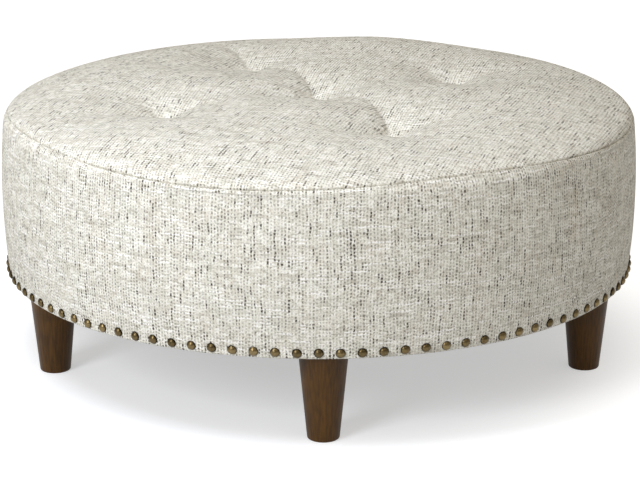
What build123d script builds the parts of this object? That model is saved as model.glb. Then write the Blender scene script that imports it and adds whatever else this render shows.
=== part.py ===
"""Round tufted ottoman coffee table: turned legs, plywood frame, foam, batting, sewn cover, nail trim."""
from math import atan, cos, degrees, radians, sin, sqrt
import os

from build123d import *

os.makedirs("parts", exist_ok=True)

# Driving dimensions, in millimetres. The origin is on the floor under the centre, +Z is up and the
# front leg stands at -Y.
overall_diameter = 1016.0
overall_height = 426.0
leg_height = 142.0
frame_height = 156.0

# The upholstered outline: the wall swells between its lower edge and the seam, and the top is crowned.
wall_bulge = 7.5
edge_round = 4.0
seam_drop = 30.5
seam_inset = 12.4
shoulder_inset = 67.0
crown_rise = 12.5
wall_top_drop = 16.0
wall_top_inset = 5.5
seam_bow_share = 0.10
shoulder_bow_share = 0.07

# The soft layers, from the outside in
cover_thickness = 1.5
batting_thickness = 12.0
edge_padding = 4.0
turn_under = 45.0
dust_cloth = 0.8

# The plywood frame
board_thickness = 18.0
deck_thickness = 15.0
liner_thickness = 3.0
ring_width = 100.0
post_width = 60.0
post_depth = 40.0
block_width = 90.0
block_depth = 70.0
block_height = 22.0
batten_thickness = 22.0
batten_depth = 45.0
batten_gap = 5.0

# The legs and what screws them on
leg_count = 5
leg_inset = 49.5
leg_top_diameter = 76.0
leg_foot_diameter = 48.0
foot_rounding = 3.0
leg_arris = 1.5
bolt_diameter = 8.0
bolt_leg_depth = 50.0
bolt_point = 6.0
bolt_thread_step = 0.5
bolt_stand_out = 6.0
bolt_clearance = 0.5
nut_barrel_diameter = 11.0
nut_barrel_length = 14.0
nut_flange_diameter = 22.0
nut_flange = 1.5
nut_thread_fit = 0.1

# Screws and staples
screw_diameter = 4.0
screw_head_diameter = 8.0
screw_head_depth = 2.4
screw_point = 5.0
screw_length = 45.0
block_bite_share = 0.7
staple_width = 11.0
staple_wire = 0.7
staple_leg = 8.0
cover_staple_count = 40
cover_staple_inset = 12.5
cloth_staple_count = 20
cloth_staple_inset = 12.0
cloth_inset = 16.0
liner_staple_count = 10
liner_staple_drop = 4.0

# The nail trim
nail_count = 100
nail_height = 9.4
nail_start_turn = -0.9
nail_head_diameter = 13.0
nail_dome = 4.2
nail_shank_diameter = 1.8
nail_shank_length = 16.0

# The five blind tufts: one at the centre and four on a square turned from the axes
tuft_radius = 252.0
tuft_turn_angle = 26.3
tuft_depth = 24.0
tuft_reach = 78.0
tuft_bore_diameter = 22.0
twine_diameter = 2.4
twine_spacing = 10.0
twine_fit = 0.2
twine_bend = 2.5
knot_diameter = 3.6
anchor_diameter = 30.0
anchor_thickness = 3.0

# Radii and heights that follow
wall_radius = overall_diameter / 2
edge_radius = wall_radius - wall_bulge
liner_radius = edge_radius - cover_thickness - edge_padding
frame_radius = liner_radius - liner_thickness
ring_inner_radius = frame_radius - ring_width
cloth_top = leg_height + dust_cloth
ring_bottom = cloth_top + cover_thickness
ring_top = ring_bottom + board_thickness
deck_top = ring_bottom + frame_height
deck_bottom = deck_top - deck_thickness
seam_height = overall_height - seam_drop
shoulder_radius = wall_radius - shoulder_inset
block_top = ring_top + block_height
post_radius = sqrt(frame_radius**2 - (post_width / 2) ** 2) - post_depth / 2
leg_ring_radius = frame_radius - leg_inset
cloth_radius = edge_radius - cloth_inset
front = -90.0
leg_turn = 360 / leg_count
post_count = 2 * leg_count
tuft_places = [(0, 0)] + [
    (tuft_radius * cos(radians(tuft_turn_angle + turn)), tuft_radius * sin(radians(tuft_turn_angle + turn)))
    for turn in (0, 90, 180, 270)
]


def ring_places(radius, count, start, height, flip=0):
    """Evenly spaced places round the axis, each with its own X pointing outward."""
    angles = [start + step * 360 / count for step in range(count)]
    return [
        Location((radius * cos(radians(angle)), radius * sin(radians(angle)), height), (0, 0, angle))
        * Location((0, 0, 0), (flip, 0, 0))
        for angle in angles
    ]


def bowed(start, end, share):
    """An arc from start to end that bows outward by a share of its chord."""
    run, rise = end[0] - start[0], end[1] - start[1]
    middle = ((start[0] + end[0]) / 2 + share * rise, (start[1] + end[1]) / 2 - share * run)
    ThreePointArc(start, middle, end)


def crown_height(radius):
    """Height of the crowned top, without its tufts, at a radius inside the shoulder."""
    ball = (shoulder_radius**2 + crown_rise**2) / (2 * crown_rise)
    return overall_height - ball + sqrt(ball**2 - radius**2)


def envelope(inset):
    """The upholstered body as a solid, without tufts, drawn in by a thickness on every side."""
    bottom = cloth_top + inset
    edge = edge_radius - inset
    rounding = max(edge_round - inset, edge_round / 4)
    wall_top = (wall_radius - wall_top_inset - inset, seam_height - wall_top_drop)
    seam = (wall_radius - seam_inset - inset, seam_height)
    shoulder = (shoulder_radius, overall_height - crown_rise - inset)
    crown_middle = (shoulder_radius / 2, crown_height(shoulder_radius / 2) - inset)
    crown = (0, overall_height - inset)
    with BuildPart() as body:
        with BuildSketch(Plane.XZ):
            with BuildLine():
                Line((0, bottom), (edge - rounding, bottom))
                RadiusArc((edge - rounding, bottom), (edge, bottom + rounding), -rounding)
                middle = (wall_radius - inset, (bottom + rounding + wall_top[1]) / 2)
                ThreePointArc((edge, bottom + rounding), middle, wall_top)
                bowed(wall_top, seam, seam_bow_share)
                bowed(seam, shoulder, shoulder_bow_share)
                ThreePointArc(shoulder, crown_middle, crown)
                Line(crown, (0, bottom))
            make_face()
        revolve(axis=Axis.Z)
    return body.part


# A tuft is a pleated funnel: four-pointed stars at rising heights, whose points run towards the
# neighbouring tufts. Heights are shares of the depth and points are shares of the reach.
funnel_height_shares = (0, 0.3, 0.72, 1.25)
funnel_point_shares = (0.1, 0.28, 0.62, 1.2)
funnel_waist_shares = (0.8, 0.66, 0.62, 0.66)


def tuft_funnel(place, inset):
    """The hollow of one tuft, grown by a thickness on every side, as a solid to cut away."""
    surface = crown_height(sqrt(place[0] ** 2 + place[1] ** 2))
    floor = surface - tuft_depth - inset
    shares = zip(funnel_height_shares, funnel_point_shares, funnel_waist_shares)
    with BuildPart() as funnel:
        for height_share, point_share, waist_share in shares:
            level = Plane(origin=(place[0], place[1], floor + height_share * (tuft_depth + inset)))
            point = point_share * tuft_reach + inset
            waist = waist_share * point
            with BuildSketch(level.rotated((0, 0, tuft_turn_angle))):
                with BuildLine():
                    for turn in (0, 90, 180, 270):
                        start = (point * cos(radians(turn)), point * sin(radians(turn)))
                        middle = (waist * cos(radians(turn + 45)), waist * sin(radians(turn + 45)))
                        end = (point * cos(radians(turn + 90)), point * sin(radians(turn + 90)))
                        ThreePointArc(start, middle, end)
                make_face()
        loft()
    return funnel.part


# The same body three times: outside of the cover, outside of the batting, outside of the foam
with BuildPart() as cover_outside:
    add(envelope(0))
    for place in tuft_places:
        add(tuft_funnel(place, 0), mode=Mode.SUBTRACT)

with BuildPart() as batting_outside:
    add(envelope(cover_thickness))
    for place in tuft_places:
        add(tuft_funnel(place, cover_thickness), mode=Mode.SUBTRACT)

with BuildPart() as foam_outside:
    add(envelope(cover_thickness + batting_thickness))
    for place in tuft_places:
        add(tuft_funnel(place, cover_thickness + batting_thickness), mode=Mode.SUBTRACT)
    split(bisect_by=Plane.XY.offset(deck_top), keep=Keep.TOP)

# Nailheads: domed heads on plain shanks, in one row round the wall a little above its lower edge,
# each tilted to stand square to the swelling wall. Nails and staples are driven with no pilot hole, so
# their shanks and legs press into what they hold.
edge_top = cloth_top + edge_round
swell_height = (edge_top + seam_height - wall_top_drop) / 2
nail_level = leg_height + nail_height
nail_share = (swell_height - nail_level) / (swell_height - edge_top)
nail_radius = wall_radius - wall_bulge * nail_share**2
nail_tilt = degrees(atan(2 * wall_bulge * nail_share / (swell_height - edge_top)))
nail_ball = ((nail_head_diameter / 2) ** 2 + nail_dome**2) / (2 * nail_dome)

with BuildPart() as nail:
    with BuildSketch(Plane.XZ):
        with BuildLine():
            shank = nail_shank_diameter / 2
            rim = nail_head_diameter / 2
            Polyline((0, nail_dome), (0, -nail_shank_length), (shank, -nail_shank_length), (shank, 0), (rim, 0))
            RadiusArc((rim, 0), (0, nail_dome), -nail_ball)
        make_face()
    revolve(axis=Axis.Z)

with BuildPart() as nailheads:
    upright = Location((0, 0, 0), (0, 90 + nail_tilt, 0))
    with Locations(*[place * upright for place in ring_places(nail_radius, nail_count, front + nail_start_turn, nail_level)]):
        add(nail.part)
nailheads.part.label = "nailheads"
export_step(nailheads.part, "parts/nailheads.step")


def staple_group(places):
    """Wire staples, their crowns at the places and their legs along each place's own Z."""
    with BuildPart() as group:
        with Locations(*places):
            Box(staple_wire, staple_width, staple_wire, align=(Align.CENTER, Align.CENTER, Align.MIN))
            with GridLocations(0, staple_width - staple_wire, 1, 2):
                Box(staple_wire, staple_wire, staple_leg, align=(Align.CENTER, Align.CENTER, Align.MIN))
    return group.part


def screw_group(places, length):
    """Countersunk wood screws, their heads flush at the places and their points along each place's -Z."""
    with BuildPart() as screw:
        with BuildSketch(Plane.XZ):
            with BuildLine():
                core = screw_diameter / 2
                Polyline(
                    (0, 0),
                    (screw_head_diameter / 2, 0),
                    (core, -screw_head_depth),
                    (core, screw_point - length),
                    (0, -length),
                    close=True,
                )
            make_face()
        revolve(axis=Axis.Z)
    with BuildPart() as group:
        with Locations(*places):
            add(screw.part)
    return group.part


# Cover staples: through the turned-under margin of the wall cover, up into the base ring
with BuildPart() as cover_staples:
    staple_turn = 180 / cover_staple_count
    radius = edge_radius - cover_staple_inset
    add(staple_group(ring_places(radius, cover_staple_count, front + staple_turn, cloth_top)))
cover_staples.part.label = "cover_staples"
export_step(cover_staples.part, "parts/cover_staples.step")

# Dust cover staples: up through the cloth and the margin above it, into the base ring
with BuildPart() as dust_cover_staples:
    staple_turn = 180 / cloth_staple_count
    radius = cloth_radius - cloth_staple_inset
    add(staple_group(ring_places(radius, cloth_staple_count, front + staple_turn, leg_height - staple_wire)))
dust_cover_staples.part.label = "dust_cover_staples"
export_step(dust_cover_staples.part, "parts/dust_cover_staples.step")

# Liner staples: from outside through the liner, into the edges of the base ring and the deck
with BuildPart() as liner_staples:
    inward = Location((0, 0, 0), (0, -90, 0))
    for height in (ring_top - liner_staple_drop, deck_bottom + deck_thickness / 2):
        places = ring_places(liner_radius, liner_staple_count, front, height)
        add(staple_group([place * inward for place in places]))
liner_staples.part.label = "liner_staples"
export_step(liner_staples.part, "parts/liner_staples.step")

# Post screws: two up through the base ring into each post
post_start = front + leg_turn / 4
pair = [Location((0, side * post_width / 4, 0)) for side in (-1, 1)]
with BuildPart() as post_screws:
    places = ring_places(post_radius, post_count, post_start, ring_bottom, flip=180)
    add(screw_group([place * step for place in places for step in pair], screw_length))
post_screws.part.label = "post_screws"
export_step(post_screws.part, "parts/post_screws.step")

# Deck screws: two down through the deck into each post
with BuildPart() as deck_screws:
    places = ring_places(post_radius, post_count, post_start, deck_top)
    add(screw_group([place * step for place in places for step in pair], screw_length))
deck_screws.part.label = "deck_screws"
export_step(deck_screws.part, "parts/deck_screws.step")

# Block screws: two down through each leg block into the base ring
block_pair = [Location((0, side * block_width / 3, 0)) for side in (-1, 1)]
with BuildPart() as block_screws:
    places = ring_places(leg_ring_radius, leg_count, front, block_top)
    length = block_height + block_bite_share * board_thickness
    add(screw_group([place * step for place in places for step in block_pair], length))
block_screws.part.label = "block_screws"
export_step(block_screws.part, "parts/block_screws.step")

# Deck battens: two ribs on edge under the deck, midway between the tufts and clear of the posts
batten_place = tuft_radius * (cos(radians(tuft_turn_angle)) + sin(radians(tuft_turn_angle))) / 2
post_slant = radians(leg_turn / 4)
post_near_face = (post_radius - post_depth / 2) * cos(post_slant) - post_width / 2 * sin(post_slant)
batten_length = 2 * (post_near_face - batten_gap)

with BuildPart() as batten_screws:
    steps = [(side, step) for side in (-1, 1) for step in (-3, -1, 1, 3)]
    places = [Location((side * batten_place, step * batten_length / 8, deck_top)) for side, step in steps]
    add(screw_group(places, screw_length))
batten_screws.part.label = "batten_screws"
export_step(batten_screws.part, "parts/batten_screws.step")

with BuildPart() as deck_battens:
    with Locations((-batten_place, 0, deck_bottom), (batten_place, 0, deck_bottom)):
        Box(batten_thickness, batten_length, batten_depth, align=(Align.CENTER, Align.CENTER, Align.MAX))
    add(batten_screws.part, mode=Mode.SUBTRACT)
deck_battens.part.label = "deck_battens"
export_step(deck_battens.part, "parts/deck_battens.step")

# Hanger bolts: machine thread up through the frame, wood thread down into each leg
with BuildPart() as hanger_bolt:
    with BuildSketch(Plane.XZ):
        with BuildLine():
            upper = bolt_diameter / 2
            lower = upper - bolt_thread_step
            tip = leg_height - bolt_leg_depth
            head = block_top + nut_flange + bolt_stand_out
            Polyline(
                (0, tip),
                (lower, tip + bolt_point),
                (lower, leg_height),
                (upper, leg_height),
                (upper, head),
                (0, head),
                close=True,
            )
        make_face()
    revolve(axis=Axis.Z)

with BuildPart() as hanger_bolts:
    with Locations(*ring_places(leg_ring_radius, leg_count, front, 0)):
        add(hanger_bolt.part)
hanger_bolts.part.label = "hanger_bolts"
export_step(hanger_bolts.part, "parts/hanger_bolts.step")

# Tee nuts: a flange on each leg block and a barrel down into it
with BuildPart() as tee_nuts:
    with Locations(*ring_places(leg_ring_radius, leg_count, front, block_top)):
        Cylinder(nut_flange_diameter / 2, nut_flange, align=(Align.CENTER, Align.CENTER, Align.MIN))
        Cylinder(nut_barrel_diameter / 2, nut_barrel_length, align=(Align.CENTER, Align.CENTER, Align.MAX))
        Cylinder(bolt_diameter / 2 + nut_thread_fit, 2 * block_height, mode=Mode.SUBTRACT)
tee_nuts.part.label = "tee_nuts"
export_step(tee_nuts.part, "parts/tee_nuts.step")

# Legs: turned to a straight taper, with a softened foot and a bore for the bolt's wood thread
leg_names = ("leg_front", "leg_right", "leg_back_right", "leg_back_left", "leg_left")
for leg_name, place in zip(leg_names, ring_places(leg_ring_radius, leg_count, front, 0)):
    with BuildPart(Plane(place)) as leg:
        Cone(
            leg_foot_diameter / 2,
            leg_top_diameter / 2,
            leg_height,
            align=(Align.CENTER, Align.CENTER, Align.MIN),
        )
        fillet(leg.edges().group_by(Axis.Z)[0], foot_rounding)
        fillet(leg.edges().group_by(Axis.Z)[-1], leg_arris)
    with BuildPart() as bored_leg:
        add(leg.part)
        add(hanger_bolts.part, mode=Mode.SUBTRACT)
    bored_leg.part.label = leg_name
    export_step(bored_leg.part, f"parts/{leg_name}.step")

# Leg blocks: over each leg on the base ring, bored for the bolt and the nut's barrel
with BuildPart() as leg_blocks:
    with Locations(*ring_places(leg_ring_radius, leg_count, front, ring_top)):
        Box(block_depth, block_width, block_height, align=(Align.CENTER, Align.CENTER, Align.MIN))
        Cylinder(bolt_diameter / 2 + bolt_clearance, 2 * block_height, mode=Mode.SUBTRACT)
    with Locations(*ring_places(leg_ring_radius, leg_count, front, block_top)):
        Cylinder(
            nut_barrel_diameter / 2,
            nut_barrel_length,
            align=(Align.CENTER, Align.CENTER, Align.MAX),
            mode=Mode.SUBTRACT,
        )
    add(block_screws.part, mode=Mode.SUBTRACT)
leg_blocks.part.label = "leg_blocks"
export_step(leg_blocks.part, "parts/leg_blocks.step")

# Base ring: plywood, which carries the legs and takes the nails, staples and post screws
with BuildPart() as base_ring:
    with BuildSketch(Plane.XY.offset(ring_bottom)):
        Circle(frame_radius)
        Circle(ring_inner_radius, mode=Mode.SUBTRACT)
        with PolarLocations(leg_ring_radius, leg_count, start_angle=front):
            Circle(bolt_diameter / 2 + bolt_clearance, mode=Mode.SUBTRACT)
    extrude(amount=board_thickness)
    for fasteners in (post_screws, block_screws):
        add(fasteners.part, mode=Mode.SUBTRACT)
base_ring.part.label = "base_ring"
export_step(base_ring.part, "parts/base_ring.step")

# Frame posts: ten uprights between the base ring and the deck, two beside each leg
with BuildPart() as frame_posts:
    with Locations(*ring_places(post_radius, post_count, post_start, ring_top)):
        Box(post_depth, post_width, deck_bottom - ring_top, align=(Align.CENTER, Align.CENTER, Align.MIN))
    for fasteners in (post_screws, deck_screws):
        add(fasteners.part, mode=Mode.SUBTRACT)
frame_posts.part.label = "frame_posts"
export_step(frame_posts.part, "parts/frame_posts.step")

# Deck panel: plywood on the posts, with two holes for each tuft's twine
with BuildPart() as deck_panel:
    with BuildSketch(Plane.XY.offset(deck_bottom)):
        Circle(frame_radius)
        with Locations(*tuft_places):
            with GridLocations(twine_spacing, 0, 2, 1):
                Circle(twine_diameter / 2 + twine_fit, mode=Mode.SUBTRACT)
    extrude(amount=deck_thickness)
    for fasteners in (deck_screws, batten_screws):
        add(fasteners.part, mode=Mode.SUBTRACT)
deck_panel.part.label = "deck_panel"
export_step(deck_panel.part, "parts/deck_panel.step")

# Wall liner: thin board bent round the edges of the base ring and the deck
with BuildPart() as wall_liner:
    with BuildSketch(Plane.XY.offset(ring_bottom)):
        Circle(liner_radius)
        Circle(frame_radius, mode=Mode.SUBTRACT)
    extrude(amount=deck_top - ring_bottom)
wall_liner.part.label = "wall_liner"
export_step(wall_liner.part, "parts/wall_liner.step")

# Tuft anchors: discs under the deck that spread the pull of the twines
anchor_bottom = deck_bottom - anchor_thickness
with BuildPart() as tuft_anchors:
    with BuildSketch(Plane.XY.offset(anchor_bottom)):
        with Locations(*tuft_places):
            Circle(anchor_diameter / 2)
            with GridLocations(twine_spacing, 0, 2, 1):
                Circle(twine_diameter / 2 + twine_fit, mode=Mode.SUBTRACT)
    extrude(amount=anchor_thickness)
tuft_anchors.part.label = "tuft_anchors"
export_step(tuft_anchors.part, "parts/tuft_anchors.step")

# Tuft twines: a loop sewn to the underside of each tuft, down through foam, deck and anchor, and tied
with BuildPart() as tuft_twines:
    for x, y in tuft_places:
        knot_height = anchor_bottom - knot_diameter / 2
        loop_top = crown_height(sqrt(x**2 + y**2)) - tuft_depth - cover_thickness - twine_diameter / 2 - twine_fit
        left, right = x - twine_spacing / 2, x + twine_spacing / 2
        with BuildLine() as loop:
            FilletPolyline(
                (left, y, knot_height),
                (left, y, loop_top),
                (right, y, loop_top),
                (right, y, knot_height),
                radius=twine_bend,
            )
        with BuildSketch(Plane(origin=(left, y, knot_height))):
            Circle(twine_diameter / 2)
        sweep(path=loop.line)
        with Locations((x, y, knot_height)):
            Cylinder(knot_diameter / 2, twine_spacing + knot_diameter, rotation=(0, 90, 0))
tuft_twines.part.label = "tuft_twines"
export_step(tuft_twines.part, "parts/tuft_twines.step")

# What lies outside the shoulder and below the seam belongs to the wall, the rest to the top
with BuildPart() as wall_zone:
    with BuildSketch(Plane.XY.offset(cloth_top)):
        Circle(overall_diameter)
        Circle(shoulder_radius, mode=Mode.SUBTRACT)
    extrude(amount=seam_height - cloth_top)

# Foam core: a crowned slab on the deck, bored through at each tuft for its twine
with BuildPart() as foam_core:
    add(foam_outside.part)
    with Locations(*[(x, y, deck_top) for x, y in tuft_places]):
        Cylinder(
            tuft_bore_diameter / 2,
            overall_height - deck_top,
            align=(Align.CENTER, Align.CENTER, Align.MIN),
            mode=Mode.SUBTRACT,
        )
foam_core.part.label = "foam_core"
export_step(foam_core.part, "parts/foam_core.step")

# Top batting: the soft layer over the foam, down to the level of the seam, bored like the foam
with BuildPart() as top_batting:
    add(batting_outside.part)
    split(bisect_by=Plane.XY.offset(deck_top), keep=Keep.TOP)
    add(foam_outside.part, mode=Mode.SUBTRACT)
    add(wall_zone.part, mode=Mode.SUBTRACT)
    with Locations(*[(x, y, deck_top) for x, y in tuft_places]):
        Cylinder(
            tuft_bore_diameter / 2,
            overall_height - deck_top,
            align=(Align.CENTER, Align.CENTER, Align.MIN),
            mode=Mode.SUBTRACT,
        )
top_batting.part.label = "top_batting"
export_step(top_batting.part, "parts/top_batting.step")

# Top cover: the crowned panel with its five tufts, down over the shoulder to the seam
with BuildPart() as top_cover:
    add(cover_outside.part)
    split(bisect_by=Plane.XY.offset(deck_top), keep=Keep.TOP)
    add(batting_outside.part, mode=Mode.SUBTRACT)
    add(wall_zone.part, mode=Mode.SUBTRACT)
top_cover.part.label = "top_cover"
export_step(top_cover.part, "parts/top_cover.step")


# Wall padding: a layer of fibre between liner and cover, thin at the lower edge and full at mid height
with BuildPart() as wall_padding:
    add(batting_outside.part)
    add(wall_zone.part, mode=Mode.INTERSECT)
    add(foam_outside.part, mode=Mode.SUBTRACT)
    with BuildSketch(Plane.XY.offset(ring_bottom)):
        Circle(liner_radius)
    extrude(amount=deck_top - ring_bottom, mode=Mode.SUBTRACT)
wall_padding.part.label = "wall_padding"
export_step(wall_padding.part, "parts/wall_padding.step")

# Wall cover: the boxing band, sewn to the top cover at the seam and turned under the base ring
with BuildPart() as wall_cover:
    add(cover_outside.part)
    add(wall_zone.part, mode=Mode.INTERSECT)
    add(batting_outside.part, mode=Mode.SUBTRACT)
    with BuildSketch(Plane.XY.offset(cloth_top)):
        Circle(edge_radius - turn_under)
    extrude(amount=cover_thickness, mode=Mode.SUBTRACT)
wall_cover.part.label = "wall_cover"
export_step(wall_cover.part, "parts/wall_cover.step")

# Dust cover: black cloth stapled flat under the frame, with a hole for each leg's bolt
with BuildPart() as dust_cover:
    with BuildSketch(Plane.XY.offset(leg_height)):
        Circle(cloth_radius)
        with PolarLocations(leg_ring_radius, leg_count, start_angle=front):
            Circle(bolt_diameter / 2 + bolt_clearance, mode=Mode.SUBTRACT)
    extrude(amount=dust_cloth)
dust_cover.part.label = "dust_cover"
export_step(dust_cover.part, "parts/dust_cover.step")
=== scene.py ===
import math
import random

import bmesh
import bpy
from mathutils import Matrix, Vector, noise


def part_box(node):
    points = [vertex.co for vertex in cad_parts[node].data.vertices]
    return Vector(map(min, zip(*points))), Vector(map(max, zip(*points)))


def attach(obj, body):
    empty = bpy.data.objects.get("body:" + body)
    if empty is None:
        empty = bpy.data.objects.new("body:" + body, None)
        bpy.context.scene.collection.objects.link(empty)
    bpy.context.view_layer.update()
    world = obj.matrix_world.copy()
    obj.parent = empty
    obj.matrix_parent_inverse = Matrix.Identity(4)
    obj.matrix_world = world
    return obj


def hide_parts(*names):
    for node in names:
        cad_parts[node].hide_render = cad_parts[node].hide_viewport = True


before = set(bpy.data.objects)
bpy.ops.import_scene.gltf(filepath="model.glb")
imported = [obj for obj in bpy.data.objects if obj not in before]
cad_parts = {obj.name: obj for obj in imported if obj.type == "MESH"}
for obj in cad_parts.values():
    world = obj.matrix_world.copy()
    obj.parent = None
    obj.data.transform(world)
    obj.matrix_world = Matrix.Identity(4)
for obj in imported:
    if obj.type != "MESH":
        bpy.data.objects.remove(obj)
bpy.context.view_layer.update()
MM = 0.001

# Camera: a long lens in front of the table and a little above it, aimed slightly down, so that the
# top shows as a shallow ellipse. The small shift puts the table where the picture frames it.
camera_data = bpy.data.cameras.new("camera")
camera_data.sensor_width = 36.0
camera_data.lens = 134.83
camera_data.shift_x = 0.002
camera = bpy.data.objects.new("camera", camera_data)
camera_turn, camera_away, camera_height = math.radians(0.9), 3.7414, 1.2871
camera.location = (-camera_away * math.sin(camera_turn), -camera_away * math.cos(camera_turn), camera_height)
camera.rotation_euler = (math.radians(73.39), 0.0, -camera_turn)
bpy.context.collection.objects.link(camera)
bpy.context.scene.camera = camera
bpy.context.scene.view_settings.view_transform = "Standard"


# Floor and light: a pale paper sweep that reads white to the camera and keeps the table's soft shadow,
# a painted shadow under the table where it glows less, a wide soft key lamp at the left front, two weaker
# ones above and in front, and an even pale sky.


def linear(code):
    """A colour written as sRGB hex, turned to the linear values that shaders take."""
    parts = [int(code[i:i + 2], 16) / 255 for i in (1, 3, 5)]
    return (*[p / 12.92 if p <= 0.04045 else ((p + 0.055) / 1.055) ** 2.4 for p in parts], 1.0)


def new_material(name):
    """An empty node material and its principled shader, already wired to the output."""
    material = bpy.data.materials.new(name)
    material.use_nodes = True
    return material, material.node_tree.nodes["Principled BSDF"]


def put(material, kind, settings=None, **inputs):
    """Adds one node, with its settings, and sets or links its inputs, which are named or numbered.

    A kind in capitals is the operation of a math node, a ramp's stops are places and colours, and a
    node that is given as an input is linked by its first output.
    """
    if kind.isupper():
        kind, settings = "ShaderNodeMath", {"operation": kind}
    made = material.node_tree.nodes.new(kind)
    for key, value in (settings or {}).items():
        if key == "stops":
            for stop, (position, code) in zip(made.color_ramp.elements, value):
                stop.position = position
                stop.color = linear(code)
        else:
            setattr(made, key, value)
    for key, value in inputs.items():
        socket = made.inputs[int(key[1:])] if key[0] == "i" and key[1:].isdigit() else made.inputs[key]
        if isinstance(value, bpy.types.Node):
            value = value.outputs[0]
        if isinstance(value, bpy.types.NodeSocket):
            material.node_tree.links.new(value, socket)
        else:
            socket.default_value = value
    return made


def wire(source, shader, name):
    """Links a socket, or a node by its first output, to an input of a shader."""
    socket = source.outputs[0] if isinstance(source, bpy.types.Node) else source
    shader.id_data.links.new(socket, shader.inputs[name])


floor_mesh = bpy.data.meshes.new("floor")
bm = bmesh.new()
bmesh.ops.create_grid(bm, x_segments=1, y_segments=1, size=12.0)
bm.to_mesh(floor_mesh)
bm.free()
floor = bpy.data.objects.new("floor", floor_mesh)
bpy.context.collection.objects.link(floor)
paper, paper_shader = new_material("matt_white_paper")
paper_shader.inputs["Base Color"].default_value = linear("#D0D1D3")
paper_shader.inputs["Roughness"].default_value = 0.9
rays = put(paper, "ShaderNodeLightPath")
seen = put(paper, "MAXIMUM", i0=rays.outputs["Is Camera Ray"], i1=rays.outputs["Is Glossy Ray"])
# The floor glows less within about half a metre of the middle: a painted round shadow under the table.
shadow_edge, painted_shadow_glow = (0.42, 0.66), (0.49, 0.76)
floor_place = put(paper, "ShaderNodeTexCoord")
from_middle = put(paper, "ShaderNodeVectorMath", {"operation": "LENGTH"}, i0=floor_place.outputs["Object"])
glow_with_painted_shadow = put(paper, "ShaderNodeMapRange", {"interpolation_type": "SMOOTHSTEP"}, i0=from_middle.outputs["Value"],
           i1=shadow_edge[0], i2=shadow_edge[1], i3=painted_shadow_glow[0], i4=painted_shadow_glow[1])
lift = put(paper, "MULTIPLY", i0=seen, i1=glow_with_painted_shadow)
paper_shader.inputs["Emission Color"].default_value = (1.0, 1.0, 1.0, 1.0)
wire(lift, paper_shader, "Emission Strength")
floor_mesh.materials.append(paper)

world = bpy.data.worlds.new("studio")
world.use_nodes = True
bpy.context.scene.world = world
sky = world.node_tree.nodes["Background"]
sky_fill = 0.48
sky_ray = put(world, "ShaderNodeLightPath").outputs["Is Camera Ray"]
sky_tint = put(world, "ShaderNodeMix", {"data_type": "RGBA"}, i0=sky_ray, i6=linear("#FFF8EC"),
               i7=linear("#FFFFFF"))
wire(sky_tint.outputs[2], sky, "Color")
sky_seen = put(world, "MULTIPLY_ADD", i0=sky_ray, i1=1.0 - sky_fill, i2=sky_fill)
wire(sky_seen, sky, "Strength")


def soft_lamp(name, place, size, power, tint="#FFFFFF"):
    """A square area lamp that faces the middle of the table."""
    data = bpy.data.lights.new(name, "AREA")
    data.color = linear(tint)[:3]
    data.size = size
    data.energy = power
    lamp = bpy.data.objects.new(name, data)
    lamp.location = place
    aim = Vector((0.0, 0.0, 0.25)) - Vector(place)
    lamp.rotation_euler = aim.to_track_quat("-Z", "Y").to_euler()
    lamp.visible_camera = False
    bpy.context.collection.objects.link(lamp)


soft_lamp("key", (-2.25, -2.99, 2.15), 1.3, 79.0, "#F7FAFF")
soft_lamp("overhead", (-0.8, -0.8, 1.8), 0.6, 14.5, "#EAF1FF")
soft_lamp("front", (0.75, -1.4, 1.9), 0.8, 3.0)

# Legs: five turned legs of beech, stained dark walnut and lacquered satin. The stain lies in fine
# streaks along the grain and in wide clouds, and the lacquer has a soft shine.
stained_beech, shader = new_material("walnut_stained_beech")
grain_width, grain_length = 3.0 * MM, 90.0 * MM
place = put(stained_beech, "ShaderNodeTexCoord")
stretched = put(stained_beech, "ShaderNodeMapping",
                Vector=place.outputs["Object"], Scale=(1 / grain_width, 1 / grain_width, 1 / grain_length))
streaks = put(stained_beech, "ShaderNodeTexNoise", Vector=stretched.outputs[0], Scale=1.0, Detail=6.0,
              Roughness=0.6)
cloud_size = 35.0 * MM
cloud = put(stained_beech, "ShaderNodeTexNoise", Vector=place.outputs["Object"], Scale=1 / cloud_size,
            Detail=3.0)
blend = put(stained_beech, "MULTIPLY_ADD", i0=cloud.outputs["Fac"], i1=0.5,
            i2=streaks.outputs["Fac"])
tones = put(stained_beech, "ShaderNodeValToRGB", {"stops": ((0.45, "#281805"), (1.0, "#5A3C12"))},
            Fac=blend.outputs[0])
wire(tones, shader, "Base Color")
shader.inputs["Roughness"].default_value = 0.45
shader.inputs["Specular IOR Level"].default_value = 0.2
pores = put(stained_beech, "ShaderNodeBump", Strength=0.15, Distance=0.2 * MM, Height=streaks.outputs["Fac"])
wire(pores, shader, "Normal")


def dress(material, *names):
    """Gives CAD parts that keep their shape their own finish."""
    for name in names:
        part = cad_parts[name]
        part.data.materials.clear()
        part.data.materials.append(material)


dress(stained_beech, "leg_front", "leg_right", "leg_back_right", "leg_back_left", "leg_left")

# Leg fixings: a hanger bolt in each leg screws into a tee nut, which is pressed into the block above.
# Both are mild steel, zinc plated, a pale cold grey with a faint cloudy bloom.


def mottled(name, grain, detail, stops, roughness, bump=0.0, relief=0.0):
    """A finish with one mottle in its tone and its relief. Its grain and relief are in millimetres."""
    material, shader = new_material(name)
    place = put(material, "ShaderNodeTexCoord")
    mottle = put(material, "ShaderNodeTexNoise", Vector=place.outputs["Object"], Scale=1 / (grain * MM),
                 Detail=detail)
    wire(put(material, "ShaderNodeValToRGB", {"stops": stops}, Fac=mottle), shader, "Base Color")
    shader.inputs["Roughness"].default_value = roughness
    if bump:
        uneven = put(material, "ShaderNodeBump", Strength=bump, Distance=relief * MM, Height=mottle)
        wire(uneven, shader, "Normal")
    return material, shader, mottle


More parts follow.
